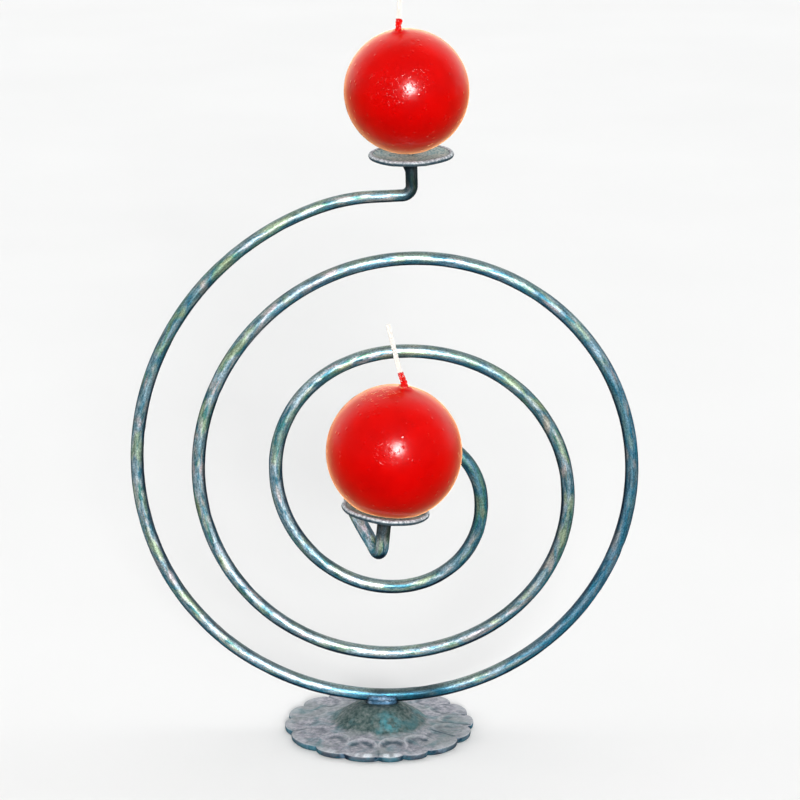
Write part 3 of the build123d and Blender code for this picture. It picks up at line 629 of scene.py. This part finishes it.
def make_foot():
    rng = np.random.default_rng(5)
    n_phi = 448
    phi = np.arange(n_phi) * 360.0 / n_phi
    out_r, t, petal = foot_outline(phi)
    a = -np.radians(phi)
    bulge = rng.uniform(-0.35, 0.0, len(NOTCH_DEG))
    out_r = out_r + bulge[petal] * (1 - t * t)
    grid = np.r_[np.linspace(4.0, 30, 30), np.linspace(30.8, 57.9, 38), 58.3]
    prof_r = np.array([0, 10.0, 12.2, 14.2, 16.5, 20.0, 24.0, 27.0, 29.0, 32.0, 38.0, 46.0, 54.0, 59.0, 62.0])
    prof_z = np.array([17.2, 17.2, 17.05, 16.1, 14.6, 12.2, 9.4, 7.3, 6.2, 5.55, 5.0, 4.4, 3.7, 3.25, 3.0])
    fine_r = np.linspace(0, 62, 621)
    fine_z = np.interp(fine_r, prof_r, prof_z)
    kernel = np.exp(-0.5 * (np.arange(-20, 21) / 9.0) ** 2)
    pad = np.r_[np.full(20, fine_z[0]), fine_z, np.full(20, fine_z[-1])]
    fine_z = np.convolve(pad, kernel / kernel.sum(), "valid")
    rows_r, rows_z, rows_h, rows_p = [], [], [], []
    dents = [(rng.uniform(13, 56), rng.uniform(0, 2 * math.pi), rng.uniform(2.0, 4.6), rng.uniform(0.04, 0.16))
             for _ in range(230)]
    turn_to = lambda deg: (phi - deg + 180) % 360 - 180
    # the lip dips at each notch and stands up between
    dip = np.abs(t) ** 3
    wave = 0.22 * wobble(np.c_[np.cos(a) * 58, np.sin(a) * 58, 0 * a], 9.0, 31)
    highlight_patches = wobble(np.c_[np.cos(a) * 58, np.sin(a) * 58, 0 * a], 3.6, 41)
    for g in grid:
        r = g * np.ones(n_phi) + smooth(34, 58.3, g) * (out_r - 0.55 - 58.3)
        z = np.interp(r, fine_r, fine_z)
        # arched hollows, hammered in round the flange by eye
        cup, arch, eye = np.zeros(n_phi), np.zeros(n_phi), np.zeros(n_phi)
        for deg, mid, half, deep in FOOT_CUPS:
            across = np.radians(turn_to(deg)) * mid / half
            along = (r - mid) / np.where(r < mid, 8.6, 8.5)
            rho = (np.abs(across) ** 2.5 + np.abs(along) ** 2.1) ** (1 / 2.3)
            rho = np.where(np.abs(turn_to(deg)) < 40, rho, 9.0)
            cup = np.maximum(cup, deep * np.clip(1 - rho**2, 0, 1) ** 0.6 * (1 - 0.45 * np.clip(along, -1, 1)))
            arch = np.maximum(arch, 0.36 * min(1, deep + 0.15) * np.exp(-((rho - 1.10) / 0.12) ** 2) * smooth(0.7, -0.2, along))
            eye = np.maximum(eye, min(1, deep + 0.1) * np.exp(-((rho - 0.68) / 0.26) ** 2) * smooth(0.45, -0.25, along))
        # creases run in from some of the notches
        crease = np.zeros(n_phi)
        for deg, start, end, deep in FOOT_CREASES:
            off = np.radians(turn_to(deg)) * r
            crease = crease + deep * np.exp(-(off / 0.8) ** 2) * smooth(start - 3, start + 3, r) * (1 - smooth(end - 2, end + 2, r))
        lip = 0.55 * smooth(51.0, 56.2, r) * (1 - 0.85 * dip) - 0.30 * dip * smooth(48, 57, r)
        z = z - cup - crease + arch + lip + wave * smooth(36, 57, r)
        x, y = r * np.cos(a), r * np.sin(a)
        hit = np.zeros(n_phi)
        for dr, da, w, deep in dents:
            d2 = ((x - dr * math.cos(da)) ** 2 + (y - dr * math.sin(da)) ** 2) / (w * w)
            hit = hit + deep * np.clip(1 - d2, 0, 1) ** 1.5
        z = z - hit * smooth(12.0, 15.0, r)
        rows_r.append(r)
        rows_z.append(z)
        # painted highlight on the front lip, in patches
        rows_p.append(smooth(52.0, 55.5, r) * np.exp(-((phi - 92) / 26) ** 2) * (1 - dip) * np.clip(0.45 + 2.2 * highlight_patches, 0, 1))
        # painted shade in the hollows' eyes, the creases and the dents; painted light on the arches and the lip
        rows_h.append(0.52 - 0.52 * eye - 0.8 * np.clip(crease / 0.5, 0, 1) + 1.1 * arch + 0.4 * np.clip(lip, 0, 1) - 0.6 * hit)
    top_r, top_z, top_h = np.array(rows_r), np.array(rows_z), np.array(rows_h)
    edge_z = np.maximum(top_z[-1], 2.4)
    top_z[-1] = edge_z
    rings = [(top_r[k], top_z[k], top_h[k]) for k in range(len(grid))]
    for dr, z, h in ((-0.22, edge_z - 0.12, 0.95), (-0.02, edge_z - 0.5, 0.75), (0.0, 0.66 * edge_z, 0.5), (-0.12, 0.4 * edge_z, 0.35),
                     (-0.35, 0.55 + 0 * edge_z, 0.2), (-0.85, 0 * edge_z, 0.05), (-1.7, 0 * edge_z, 0.05), (-1.95, 0.3 + 0 * edge_z, 0.1)):
        rings.append((out_r + dr, z, np.full(n_phi, h)))
    n_top, n_edge = len(grid), 8
    for k in range(len(grid) - 4, -1, -2):
        under = np.maximum(top_z[k] - FOOT_SHEET, 0.32)
        rings.append((np.minimum(top_r[k], out_r - 2.3), under, np.full(n_phi, 0.2)))
    rr = np.array([q[0] for q in rings])
    zz = np.array([q[1] for q in rings])
    hh = np.array([q[2] for q in rings])
    # 1 on the turned-down edge, whose darkness is painted shade: deepest at the notches, least at the tips of the
    # petals
    ee = np.zeros_like(rr)
    ee[n_top + 1:n_top + n_edge] = (0.55 + 0.45 * smooth(0.1, 0.8, np.abs(t)))[None, :]
    ee[n_top + 2:n_top + n_edge] = np.maximum(ee[n_top + 2:n_top + n_edge], 0.85)
    ee[n_top] = 0.5 * smooth(0.5, 1.0, np.abs(t))
    pts = np.stack([rr * np.cos(a), rr * np.sin(a), zz], -1)
    rows = len(rings)
    # the bore for the pad's tenon joins the upper and lower faces
    faces = tube_faces(rows, n_phi, False)
    last = (rows - 1) * n_phi
    for j in range(n_phi):
        k = (j + 1) % n_phi
        faces.append((last + j, last + k, k, j))
    ob = make("scalloped_foot", pts.reshape(-1, 3), faces, "stand", FOOT, ["base_plate"])
    give(ob, "foot_light_and_shade", np.clip(hh, 0, 1).ravel())
    give(ob, "foot_crown", (1 - smooth(25, 33, rr)).ravel())
    give(ob, "foot_edge", ee.ravel())
    pp = np.zeros_like(rr)
    pp[:n_top] = rows_p
    pp[n_top] = 0.8 * rows_p[-1]
    give(ob, "foot_front_highlight", pp.ravel())
    return ob


# ------------------------------------------------------------------ pad and beads under the bar
def make_pad():
    around, rows = 72, 16
    ang = np.linspace(0, 2 * math.pi, around, endpoint=False)
    pts = []
    for k in range(rows):
        f = k / (rows - 1)
        z = 17.15 + 3.8 * f
        grow = 1.0 + 0.07 * (1 - f) ** 3 - 0.05 * f * f
        e = 0.66
        x = 9.5 * grow * np.sign(np.cos(ang)) * np.abs(np.cos(ang)) ** e
        y = 5.2 * grow * np.sign(np.sin(ang)) * np.abs(np.sin(ang)) ** e
        pts.append(np.c_[2.0 + x, y, np.full(around, z)])
    pts = np.array(pts).reshape(-1, 3)
    w = wobble(pts, 3.4, 9) * 0.45 + wobble(pts, 1.5, 4) * 0.16
    out = pts - np.array([2.0, 0, 0])
    out[:, 2] = 0
    out /= np.linalg.norm(out, axis=1)[:, None]
    pts = pts + out * w[:, None]
    verts = np.vstack([pts, [2.0, 0, 17.15], [2.0, 0, 20.6]])
    # painted shade at the pad's ends under the bar and along its foot on the crown
    ends = smooth(8.0, 9.6, np.abs(verts[:, 0] - 2.0))
    soot_and_shade = 0.9 * np.clip(ends + 1 - smooth(17.1, 18.0, verts[:, 2]), 0, 1)
    # tenon through the crown, peened over below
    prof = np.array([(3.85, 17.4), (3.85, 15.5), (5.75, 15.5), (5.9, 15.1), (5.5, 14.5), (4.4, 14.16), (2.6, 14.05), (0.9, 14.03)])
    turn = np.linspace(0, 2 * math.pi, 48, endpoint=False)
    stem = np.stack([prof[:, :1] * np.cos(turn), prof[:, :1] * np.sin(turn), prof[:, 1:] + 0 * turn], -1).reshape(-1, 3)
    stem[:, :2] *= (1 - 0.04 * (0.5 + 0.5 * wobble(stem, 2.6, 17)))[:, None]
    stem = np.vstack([stem, [0, 0, 17.4], [0, 0, 14.03]])
    faces = tube_faces(rows, around) + [tuple(i + len(verts) for i in f) for f in tube_faces(len(prof), 48)]
    ob = make("bar_pad", np.vstack([verts, stem]), faces, "stand", WELD, ["base_boss"])
    give(ob, "weld_painted_shade", np.r_[soot_and_shade, np.clip(0.4 + 0.4 * wobble(stem, 3.0, 18), 0, 0.9)])


def make_beads():
    verts, faces = [], []
    for side in (-1, 1):
        n, around = 72, 20
        x = np.linspace(2.0 - 9.2, 2.0 + 9.2, n)
        line = np.c_[x, side * (4.75 + 0.15 * np.sin(x * 1.1)), 21.0 + 0.12 * np.sin(x * 0.9 + side)]
        u = (x - x[0]) / (x[-1] - x[0])
        size = 1.68 * np.sqrt(np.clip(1 - (2 * u - 1) ** 6, 0.02, 1)) * (1 + 0.09 * np.cos(x * 2 * math.pi / 3.3 + 1.4 * np.sin(x)))
        ang = np.linspace(0, 2 * math.pi, around, endpoint=False)
        ring = np.stack([0 * ang, np.cos(ang), np.sin(ang)], -1)
        # each ripple of the bead leans back along it
        lean = 0.5 * np.cos(ang) * side
        pts = line[:, None, :] + ring[None] * size[:, None, None]
        pts[:, :, 0] += lean[None, :]
        base = len(verts)
        pts = pts.reshape(-1, 3)
        pts = pts + np.c_[0 * pts[:, 0], wobble(pts, 2.3, 6), wobble(pts, 2.3, 8)] * 0.42
        verts.extend(np.vstack([pts, line[0], line[-1]]).tolist())
        faces.extend([tuple(i + base for i in f) for f in tube_faces(n, around)])
    verts = np.array(verts)
    ob = make("bar_weld_beads", verts, faces, "stand", WELD, ["base_weld"])
    # painted shade at the beads' ends
    give(ob, "weld_painted_shade", 0.8 * smooth(7.4, 9.4, np.abs(verts[:, 0] - 2.0)))


# ------------------------------------------------------------------ pans and their collars
def lathe(origin, up, profile, around, change=None):
    """Closed ring of rings: profile is (radius, height) pairs that close on themselves round the axis."""
    x, y = frame_of(up)
    ang = np.linspace(0, 2 * math.pi, around, endpoint=False)
    prof = np.asarray(profile, float)
    r = np.repeat(prof[:, :1], around, 1)
    h = np.repeat(prof[:, 1:], around, 1)
    if change is not None:
        r, h = change(r, h, ang)
    pts = (origin + x * (r * np.cos(ang))[:, :, None] + y * (r * np.sin(ang))[:, :, None] + up * h[:, :, None])
    rows = len(prof)
    faces = tube_faces(rows, around, False)
    last = (rows - 1) * around
    for j in range(around):
        k = (j + 1) % around
        faces.append((last + j, last + k, k, j))
    return pts.reshape(-1, 3), faces


def pan_profile(dish):
    """Upper face, rolled rim and under face of a pan, and a number that says which: 0, 1 down to 0.5, and 0.5."""
    mid_r, turn = PAN_R - PAN_BEAD, math.radians(142)
    join_r, rise = mid_r + PAN_BEAD * math.cos(turn), PAN_BEAD * math.sin(turn)
    wall = lambda r: np.clip((r - PAN_FLAT) / (join_r - PAN_FLAT), 0, 1) ** 1.9
    up_r = np.linspace(SPIKE_R, join_r, 34)
    top = np.c_[up_r, -dish + (dish - PAN_BEAD + rise) * wall(up_r)]
    a = np.linspace(turn, -turn, 24)[1:-1]
    roll = np.c_[mid_r + PAN_BEAD * np.cos(a), -PAN_BEAD + PAN_BEAD * np.sin(a)]
    dn_r = np.linspace(join_r, SPIKE_R, 28)
    depth = dish + PAN_SHEET
    low = np.c_[dn_r, -depth + (depth - PAN_BEAD - rise) * wall(dn_r)]
    kind = np.r_[0 * up_r, 0.5 + 0.5 * smooth(math.radians(-12), math.radians(32), a), 0 * dn_r + 0.5]
    kind[len(up_r) - 1] = 0.3
    return np.vstack([top, roll, low]), kind


def make_pan(name, origin, up, dish, node, seed):
    rng = np.random.default_rng(seed)
    dents = [(rng.uniform(5, 25), rng.uniform(0, 2 * math.pi), rng.uniform(1.6, 3.6), rng.uniform(0.04, 0.14))
             for _ in range(120)]
    phase = rng.uniform(0, 2 * math.pi, 3)

    def change(r, h, ang):
        x, y = r * np.cos(ang), r * np.sin(ang)
        hit = np.zeros_like(r)
        for dr, da, w, deep in dents:
            d2 = ((x - dr * math.cos(da)) ** 2 + (y - dr * math.sin(da)) ** 2) / (w * w)
            hit += deep * np.clip(1 - d2, 0, 1) ** 1.5
        far = (r / PAN_R) ** 3
        wave = 0.22 * np.sin(2 * ang + phase[0]) + 0.14 * np.sin(3 * ang + phase[1]) + 0.08 * np.sin(7 * ang + phase[2])
        trim = 0.18 * (1 + np.sin(3 * ang + phase[1])) + 0.12 * (1 + np.sin(8 * ang + phase[0]))
        far_in = smooth(22, PAN_R, r)
        return r - trim * far_in * 0.6, h - hit * smooth(4, 7, r) + (wave - 0.44) * far * 0.8

    prof, kind = pan_profile(dish)
    pts, faces = lathe(origin, up, prof, 168, change)
    ob = make(name, pts, faces, "stand", PAN, [node])
    give(ob, "pan_edge", np.repeat(kind[:, None], 168, 1).ravel())


def make_collar(name, origin, up, depth, node, seed, bar_r, near, far, heavy):
    """Lumpy fillet under a pan; near and far are (reach out, run down the bar) on its two sides, far at angle heavy."""
    f = np.linspace(0, 1, 22)
    prof = np.vstack([[(3.0, 0.25)], np.c_[np.ones(22), -f], [(3.0, -1.0)]])

    def change(r, hh, ang):
        side = smooth(-0.6, 1.0, np.cos(ang - heavy))
        out = near[0] + (far[0] - near[0]) * side
        run = near[1] + (far[1] - near[1]) * side
        run = run * (1 + 0.10 * np.sin(3 * ang + seed) + 0.06 * np.sin(7 * ang + 2 * seed))
        lump = 0.14 * np.sin(5 * ang + seed) + 0.10 * np.sin(9 * ang + 2 * seed)
        ff = np.clip(-hh, 0, 1)
        skin = bar_r - 0.12 + (out - bar_r) * (1 - ff) ** 1.5 + lump * (1 - ff)
        keep = r > 2.0
        return np.where(keep, r, skin), -depth + np.where(hh > 0, hh, hh * run)

    pts, faces = lathe(origin, up, prof, 64, change)
    w = wobble(pts, 1.9, seed) * 0.14
    axis = pts - origin
    axis = axis - np.outer(axis @ up, up)
    pts = pts + axis / np.linalg.norm(axis, axis=1)[:, None] * w[:, None]
    ob = make(name, pts, faces, "stand", WELD, [node])
    # painted shade: the collar under the pan is dark all over, in patches
    give(ob, "weld_painted_shade", np.clip(0.78 + 0.3 * wobble(pts, 4.0, seed + 20), 0, 0.92))


# ------------------------------------------------------------------ wicks
BRAID_WIDE, BRAID_THICK, STRAND_R, BRAID_PITCH = 0.86, 0.38, 0.60, 5.6


def wick_line(points):
    p = points
    out = [p[:1]]
    for i in range(1, len(p) - 1):
        before, after = np.linalg.norm(p[i] - p[i - 1]) / 2, np.linalg.norm(p[i + 1] - p[i]) / 2
        if i == 1:
            before = after = min(before, after)
        u, v = unit(p[i] - p[i - 1]), unit(p[i + 1] - p[i])
        out.append(bezier(p[i] - u * before, p[i], p[i] + v * after, 24))
    out.append(p[-1:])
    return np.vstack(out)


def strand_places(s, k):
    """Place of strand k of the braid across and through the wick."""
    g = 2 * math.pi * s / BRAID_PITCH + 2 * math.pi * k / 3
    return BRAID_WIDE * np.sin(g), BRAID_THICK * np.sin(2 * g)


def make_wick(name, points, body, node, seed):
    rng = np.random.default_rng(seed)
    line, s = resample(wick_line(points), 0.28)
    tan, a, b = frames_along(line)
    around = 12
    ang = np.linspace(0, 2 * math.pi, around, endpoint=False)
    verts, faces, at = [], [], []
    for k in range(3):
        u, v = strand_places(s, k)
        mid = line + a * u[:, None] + b * v[:, None]
        t2, c, d = frames_along(mid)
        size = STRAND_R * (1 + 0.06 * np.sin(s * 2.9 + k * 2) + 0.05 * rng.standard_normal(len(s)))
        size = size * (1 - 0.45 * smooth(s[-1] - 1.1, s[-1], s))
        twist = s * 2 * math.pi / 3.1
        ply = 1 + 0.07 * np.cos(4 * ang[None, :] + 4 * twist[:, None] * 0.5)
        ring = c[:, None, :] * np.cos(ang)[None, :, None] + d[:, None, :] * np.sin(ang)[None, :, None]
        pts = mid[:, None, :] + ring * (size[:, None] * ply)[:, :, None]
        base = len(verts)
        verts.extend(np.vstack([pts.reshape(-1, 3), mid[0], mid[-1]]).tolist())
        faces.extend([tuple(i + base for i in f) for f in tube_faces(len(s), around)])
        flat = np.stack([np.repeat((s + 40 * k)[:, None], around, 1), STRAND_R * np.cos(ang)[None, :] + 0 * s[:, None],
                         STRAND_R * np.sin(ang)[None, :] + 0 * s[:, None]], -1).reshape(-1, 3)
        at.extend(np.vstack([flat, [0, 0, 0], [s[-1], 0, 0]]).tolist())
    verts = np.array(verts)
    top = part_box(node)[1][2] / MM
    verts[:, 2] = np.minimum(verts[:, 2], top)
    ob = make(name, verts, faces, body, WICK, [node])
    give(ob, "strand_at", np.array(at) * MM)
    return line, s


# ------------------------------------------------------------------ candles
def make_candle(name, centre, radius, rim, up, dish, wick, dip, lumps, flat, body, node, seed):
    """Dipped coat: a ball whose wax climbs the foot of the wick, with the spike's hole below.

    dip is the dipped length and lumps the wax on it, as (share of that length, extra thickness, spread, side).
    flat is the height of the flat underside over the floor of the pan, or None.
    """
    rng = np.random.default_rng(seed)
    line, s = resample(wick_line(wick), 0.3)
    far = np.linalg.norm(line - centre, axis=1)
    root = int(np.argmax(far > radius - 0.4))
    pole = unit(line[root] - centre)
    tan, wa, wb = frames_along(line)
    x, y = frame_of(pole)
    around = 168
    ang = np.linspace(0, 2 * math.pi, around, endpoint=False)
    dip_end = int(np.searchsorted(s, s[root] + dip))
    # skin over the braid on the dipped length, then the ball from the wick's root to the opposite pole
    rings = []
    for i in range(dip_end, root + 1, -1):
        f = (i - root) / (dip_end - root)
        reach = np.full(around, 0.55)
        for k in range(3):
            u, v = strand_places(s[i:i + 1], k)
            off = u * np.sin(ang) - v * np.cos(ang)
            inside = STRAND_R**2 - off**2
            hit = u * np.cos(ang) + v * np.sin(ang) + np.sqrt(np.clip(inside, 0, None))
            reach = np.where(inside > 0, np.maximum(reach, hit), reach)
        reach = reach + 0.20 + 0.25 * (1 - f) ** 2 + 0.05 * np.sin(3 * ang + s[i] * 1.3)
        for at, thick, spread, side in lumps:
            reach = reach + thick * math.exp(-((f - at) / spread) ** 2) * (0.55 + 0.45 * np.cos(ang - side))
        # the skin's upper end closes on the braid
        reach = reach * (1 - 0.5 * smooth(0.90, 1.0, f) ** 2)
        side = wa[i] * np.cos(ang)[:, None] + wb[i] * np.sin(ang)[:, None]
        rings.append(line[i] + side * reach[:, None])
    neck = np.linalg.norm(rings[-1] - line[root + 2], axis=1).mean()
    start = math.asin(min(0.9, (neck + 1.2) / radius))
    polar = np.r_[np.linspace(start, 0.30, 9)[:-1], np.linspace(0.30, math.pi, 118)[:-1]]
    x0 = np.array([wa[root], wb[root]])
    # the ball's rings start at the same side as the skin's
    fx = unit(x0[0] - pole * (x0[0] @ pole))
    fy = np.cross(pole, fx)
    pits = [(unit(rng.standard_normal(3)), rng.uniform(1.2, 3.4), rng.uniform(-0.10, 0.16)) for _ in range(90)]
    for p in polar:
        dirs = pole * math.cos(p) + math.sin(p) * (fx * np.cos(ang)[:, None] + fy * np.sin(ang)[:, None])
        pts = centre + dirs * radius
        rise = 1.35 * math.exp(-((p - start) * radius / 1.5))
        r = radius - 0.16 + 0.10 * wobble(dirs * radius, 19.0, seed) + 0.05 * wobble(dirs * radius, 7.0, seed + 3) + rise
        for d, w, deep in pits:
            gap = np.linalg.norm(dirs - d, axis=1) * radius
            r = r - deep * np.clip(1 - (gap / w) ** 2, 0, 1) ** 2
        rings.append(centre + dirs * np.minimum(r, radius + rise)[:, None])
    rows = len(rings)
    verts = np.vstack([np.array(rings).reshape(-1, 3), line[dip_end] + tan[dip_end] * 0.1, centre - pole * (radius - 0.16)])
    if flat is not None:
        # the soft wax sat down flat, with a rounded edge
        high = (verts - rim) @ up
        level = -dish + flat
        sat = 0.5 * (high + level + np.sqrt((high - level) ** 2 + 0.30))
        verts = verts + np.outer(np.where(high < level + 4, sat - high, 0), up)
    ob = make(name, verts, tube_faces(rows, around), body, WAX, [node])
    # the spike's hole
    cx, cy = frame_of(up)
    n = 40
    ca = np.linspace(0, 2 * math.pi, n, endpoint=False)
    levels = [-12.0, -dish + SPIKE_ABOVE + 1.2]
    cyl = np.vstack([rim + up * lv + SPIKE_BORE * (cx * np.cos(ca)[:, None] + cy * np.sin(ca)[:, None]) for lv in levels]
                    + [rim + up * levels[0], rim + up * levels[1]])
    me = bpy.data.meshes.new("bore")
    me.from_pydata((cyl * MM).tolist(), [], tube_faces(2, n))
    bm = bmesh.new()
    bm.from_mesh(me)
    bmesh.ops.recalc_face_normals(bm, faces=bm.faces)
    bm.to_mesh(me)
    bm.free()
    bore = bpy.data.objects.new("bore", me)
    scene.collection.objects.link(bore)
    mod = ob.modifiers.new("bore", "BOOLEAN")
    mod.operation, mod.solver, mod.object = "DIFFERENCE", "EXACT", bore
    bpy.context.view_layer.update()
    cut = bpy.data.meshes.new_from_object(ob.evaluated_get(bpy.context.evaluated_depsgraph_get()))
    ob.modifiers.clear()
    ob.data = cut
    cut.polygons.foreach_set("use_smooth", [True] * len(cut.polygons))
    bpy.data.objects.remove(bore)
    return ob


make_bar()
make_foot()
make_pad()
make_beads()
make_pan("upper_drip_pan", UPPER_RIM, UPPER_UP, UPPER_DISH, "upper_pan", 21)
make_pan("lower_drip_pan", LOWER_RIM, LOWER_UP, LOWER_DISH, "lower_pan", 34)
make_collar("upper_collar", UPPER_RIM, UPPER_UP, UPPER_DISH + PAN_SHEET, "upper_pan_weld", 2, 0.9 * BAR_R,
            (6.0, 5.6), (8.4, 9.4), math.pi)
make_collar("lower_collar", LOWER_RIM, LOWER_UP, LOWER_DISH + PAN_SHEET, "lower_pan_weld", 5, BAR_R,
            (5.6, 4.2), (6.6, 6.4), math.pi)
make_wick("upper_braid", UPPER_WICK, "upper_candle", "upper_wick", 8)
make_wick("lower_braid", LOWER_WICK, "lower_candle", "lower_wick", 9)
make_candle("upper_dipped_ball", UPPER_BALL, UPPER_BALL_R, UPPER_RIM, UPPER_UP, UPPER_DISH, UPPER_WICK, 8.2,
            [(0.74, 0.95, 0.16, 2.6), (0.08, 0.7, 0.12, 0.6), (0.50, 0.15, 0.08, 5.0)], None,
            "upper_candle", "upper_candle_coat", 14)
make_candle("lower_dipped_ball", LOWER_BALL, LOWER_BALL_R, LOWER_RIM, LOWER_UP, LOWER_DISH, LOWER_WICK, 10.8,
            [(0.06, 1.3, 0.16, 0.0), (0.36, 0.5, 0.09, 2.0), (0.62, 0.42, 0.07, 4.4), (0.84, 0.3, 0.06, 1.0)], 0.95,
            "lower_candle", "lower_candle_coat", 15)

for node, mat in (("upper_spike", SPIKE), ("lower_spike", SPIKE), ("upper_candle_core", CORE), ("lower_candle_core", CORE)):
    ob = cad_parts[node]
    ob.data.materials.clear()
    ob.data.materials.append(mat)

# ------------------------------------------------------------------ floor, light and camera
floor_mat = Nodes("floor")
place = floor_mat.place()
floor_mat.set(Base_Color=floor_mat.ramp(floor_mat.noise(place, 3.0, 2.0), (0.3, (0.825, 0.82, 0.805)), (0.7, (0.845, 0.84, 0.825))),
              Roughness=0.9)
floor_mesh = bpy.data.meshes.new("floor")
ring = [(9 * math.cos(k * math.pi / 48), 9 * math.sin(k * math.pi / 48), 0.0) for k in range(96)]
floor_mesh.from_pydata(ring, [], [tuple(range(96))])
floor = bpy.data.objects.new("floor", floor_mesh)
scene.collection.objects.link(floor)
floor_mesh.materials.append(floor_mat.mat)


def soft_light(name, azimuth, elevation, wide, strength, glints=True):
    """A far, soft light from azimuth (0 is -Y, + towards +X) and elevation, wide degrees across."""
    data = bpy.data.lights.new(name, "SUN")
    data.angle, data.energy = math.radians(wide), strength
    ob = bpy.data.objects.new(name, data)
    scene.collection.objects.link(ob)
    az, el = math.radians(azimuth), math.radians(elevation)
    to = Vector((-math.sin(az) * math.cos(el), math.cos(az) * math.cos(el), -math.sin(el)))
    ob.rotation_euler = to.to_track_quat("-Z", "Y").to_euler()
    ob.visible_glossy = glints
    return ob


soft_light("key", 5, 14, 12, 4.2, glints=False)
soft_light("overhead", 160, 56, 70, 0.62, glints=False)
soft_light("left_fill", -96, 18, 26, 0.95, glints=False)
soft_light("right_fill", 100, 18, 26, 0.75, glints=False)

# a round soft box beside the camera, seen only as glints
box = bpy.data.lights.new("soft_box", "AREA")
box.shape, box.size, box.energy = "DISK", 0.6, 66.0
soft_box = bpy.data.objects.new("soft_box", box)
scene.collection.objects.link(soft_box)
soft_box.location = (0.20, -1.79, 0.86)
soft_box.rotation_euler = (Vector((0.0, 0.0, 0.24)) - soft_box.location).to_track_quat("-Z", "Y").to_euler()
soft_box.visible_diffuse = soft_box.visible_camera = False

# the floor is there to stand on: it sends no light up to the undersides
floor.visible_glossy = floor.visible_diffuse = False

# white behind and above, dim in front and below
world = bpy.data.worlds.new("studio")
scene.world = world
world.use_nodes = True
sky = world.node_tree


def sky_node(kind, **values):
    n = sky.nodes.new(kind)
    for k, v in values.items():
        setattr(n, k, v)
    return n


def sky_span(value, a, b, lo, hi):
    n = sky_node("ShaderNodeMapRange")
    sky.links.new(value, n.inputs[0])
    for i, v in zip((1, 2, 3, 4), (a, b, lo, hi)):
        n.inputs[i].default_value = v
    return n.outputs[0]


axes = sky_node("ShaderNodeSeparateXYZ")
sky.links.new(sky_node("ShaderNodeTexCoord").outputs["Generated"], axes.inputs[0])
bright = sky_node("ShaderNodeMath", operation="MULTIPLY")
sky.links.new(sky_span(axes.outputs[1], 0.10, 0.72, 0.16, 1.5), bright.inputs[0])
sky.links.new(sky_span(axes.outputs[2], -0.16, 0.12, 0.10, 1.0), bright.inputs[1])
sky.nodes["Background"].inputs[0].default_value = (0.95, 0.97, 1.0, 1)
sky.links.new(bright.outputs[0], sky.nodes["Background"].inputs[1])

cam_data = bpy.data.cameras.new("camera")
cam_data.sensor_width, cam_data.lens = 36.0, 138.6
cam_data.clip_start, cam_data.clip_end = 0.05, 50
cam = bpy.data.objects.new("camera", cam_data)
scene.collection.objects.link(cam)
cam.location = (0.0131, -1.8, 0.7101)
cam.rotation_euler = (math.radians(74.54), 0, 0)
scene.camera = cam
